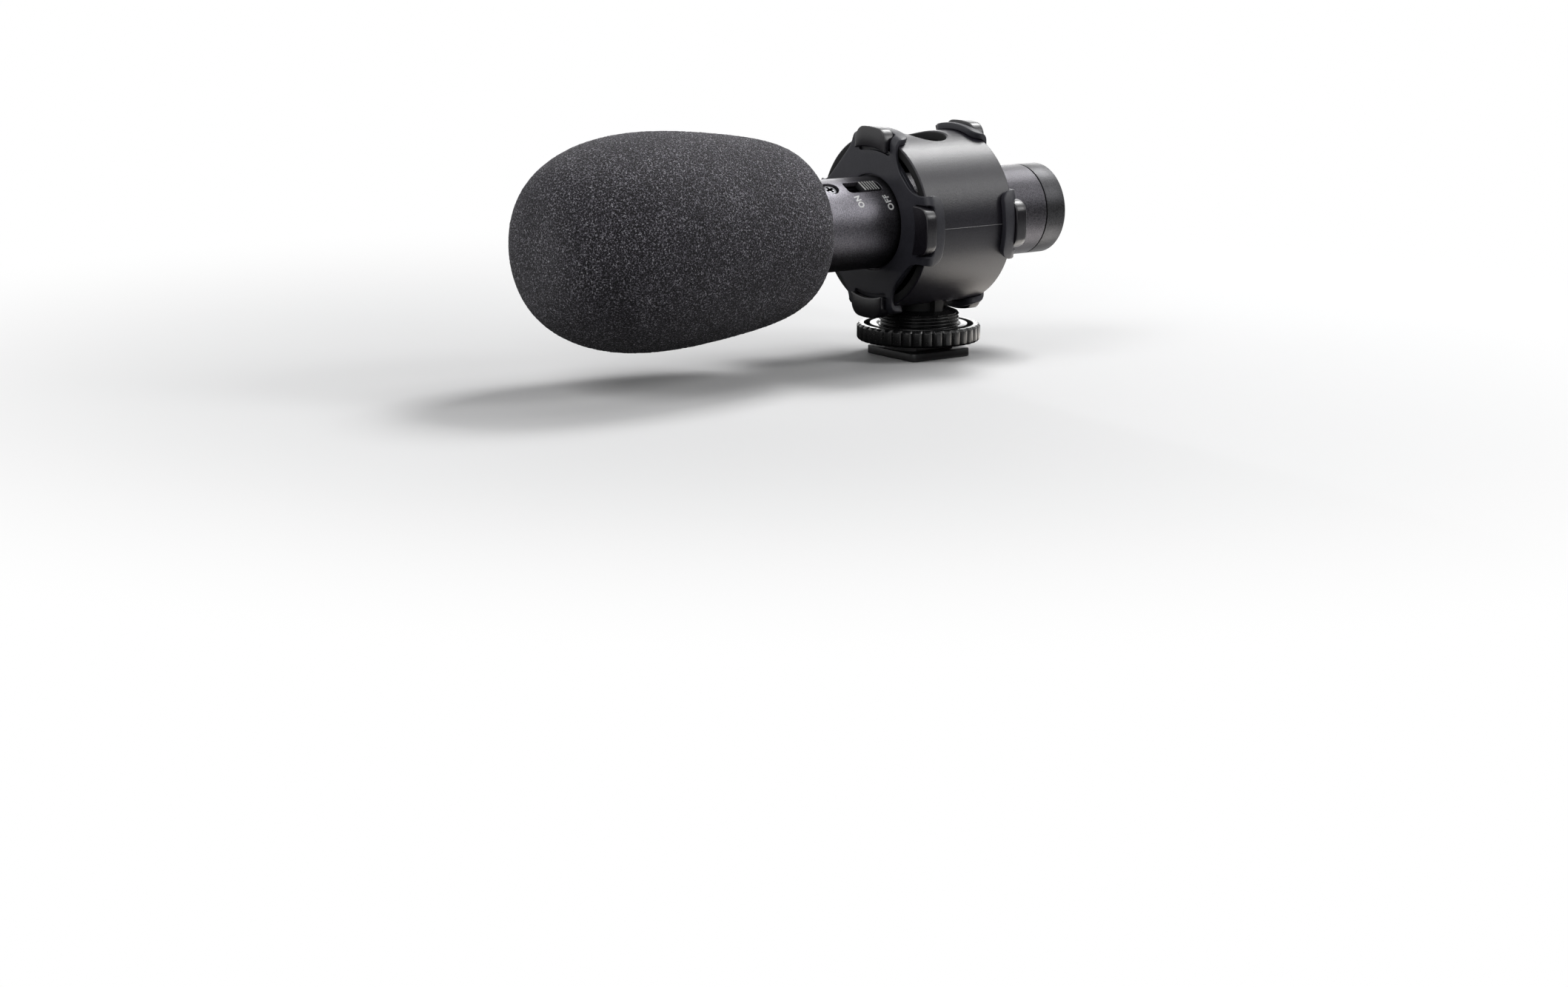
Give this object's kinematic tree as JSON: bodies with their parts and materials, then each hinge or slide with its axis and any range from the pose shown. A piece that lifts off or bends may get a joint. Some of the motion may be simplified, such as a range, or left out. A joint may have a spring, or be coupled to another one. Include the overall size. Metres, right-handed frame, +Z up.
{
  "type": "on-camera microphone",
  "caption": "Round shotgun-style microphone in a foam windscreen, floating on rubber diaphragms in a shock-mount shell with a locking shoe foot.",
  "frame": {"origin": "centre of the shoe foot's underside", "axes": "+Z up out of the camera's shoe, the barrel lies along Y with the windscreen to -Y and the battery cap to +Y, the switch looks up and to +X"},
  "size_m": [0.0506, 0.1472, 0.0587],
  "materials": {
    "foam": "matte",
    "black_anodised": "satin",
    "shell_plastic": "satin",
    "ring_plastic": "gloss",
    "black_rubber": "matte",
    "boot_rubber": "matte",
    "foot_metal": "satin",
    "steel_bright": "polished",
    "steel_black": "satin",
    "switch_metal": "satin",
    "knob_plastic": "satin",
    "socket_plastic": "satin",
    "contact_plate": "satin",
    "board_green": "satin",
    "chip_black": "matte",
    "can_blue": "gloss",
    "battery_wrap": "gloss",
    "wire_red": "satin",
    "wire_black": "satin",
    "wire_yellow": "satin",
    "holder_plastic": "matte"
  },
  "bodies": {
    "mount": {"shoe_foot": "foot_metal", "foot_screw_front": "steel_bright", "foot_screw_rear": "steel_bright", "mount_body": "shell_plastic", "front_diaphragm": "black_rubber", "rear_diaphragm": "black_rubber"},
    "washer": {"ring_washer": "holder_plastic"},
    "ring": {"lock_ring": "ring_plastic"},
    "microphone": {"mic_tube": "black_anodised", "front_grille": "black_anodised", "capsule": "switch_metal", "capsule_boot": "boot_rubber", "capsule_wire_signal": "wire_red", "capsule_wire_ground": "wire_black", "circuit_board": "board_green", "preamp_chip": "chip_black", "coupling_capacitor": "can_blue", "supply_capacitor": "can_blue", "switch_body": "switch_metal", "switch_screw": "steel_black", "switch_wire_front": "wire_yellow", "switch_wire_rear": "wire_red", "jack_socket": "socket_plastic", "jack_nut": "steel_bright", "battery_holder": "holder_plastic", "battery": "battery_wrap", "battery_contact": "contact_plate", "battery_lead": "wire_red"},
    "windscreen": {"windscreen_foam": "foam"},
    "switch": {"switch_knob": "knob_plastic"},
    "gasket": {"cap_gasket": "boot_rubber"},
    "cap": {"rear_cap": "black_anodised", "battery_spring": "steel_bright"}
  },
  "joints": [
    {"name": "ring_lift", "type": "slide", "parent": "mount", "child": "washer", "axis": [0, 0, 1], "range_m": [0, 0.002]},
    {"name": "ring_turn", "type": "hinge", "parent": "washer", "child": "ring", "pos_m": [0, 0, 0.0058], "axis": [0, 0, 1], "range_deg": [0, 720]},
    {"name": "barrel_float", "type": "slide", "parent": "mount", "child": "microphone", "axis": [0, 1, 0], "range_m": [-0.0015, 0.0015], "stiffness_N_per_m": 600},
    {"name": "windscreen_pull", "type": "slide", "parent": "microphone", "child": "windscreen", "axis": [0, -1, 0], "range_m": [0, 0.066]},
    {"name": "switch_slide", "type": "slide", "parent": "microphone", "child": "switch", "axis": [0, -1, 0], "range_m": [0, 0.0036]},
    {"name": "cap_back_out", "type": "slide", "parent": "microphone", "child": "gasket", "axis": [0, 1, 0], "range_m": [0, 0.004]},
    {"name": "cap_turn", "type": "hinge", "parent": "gasket", "child": "cap", "pos_m": [0, 0.034, 0.0334], "axis": [0, 1, 0], "range_deg": [0, 1440]}
  ],
  "couplings": [
    {"joint": "ring_lift", "follows": "ring_turn", "m_per_rad": 0.000159},
    {"joint": "cap_back_out", "follows": "cap_turn", "m_per_rad": 0.000159}
  ]
}
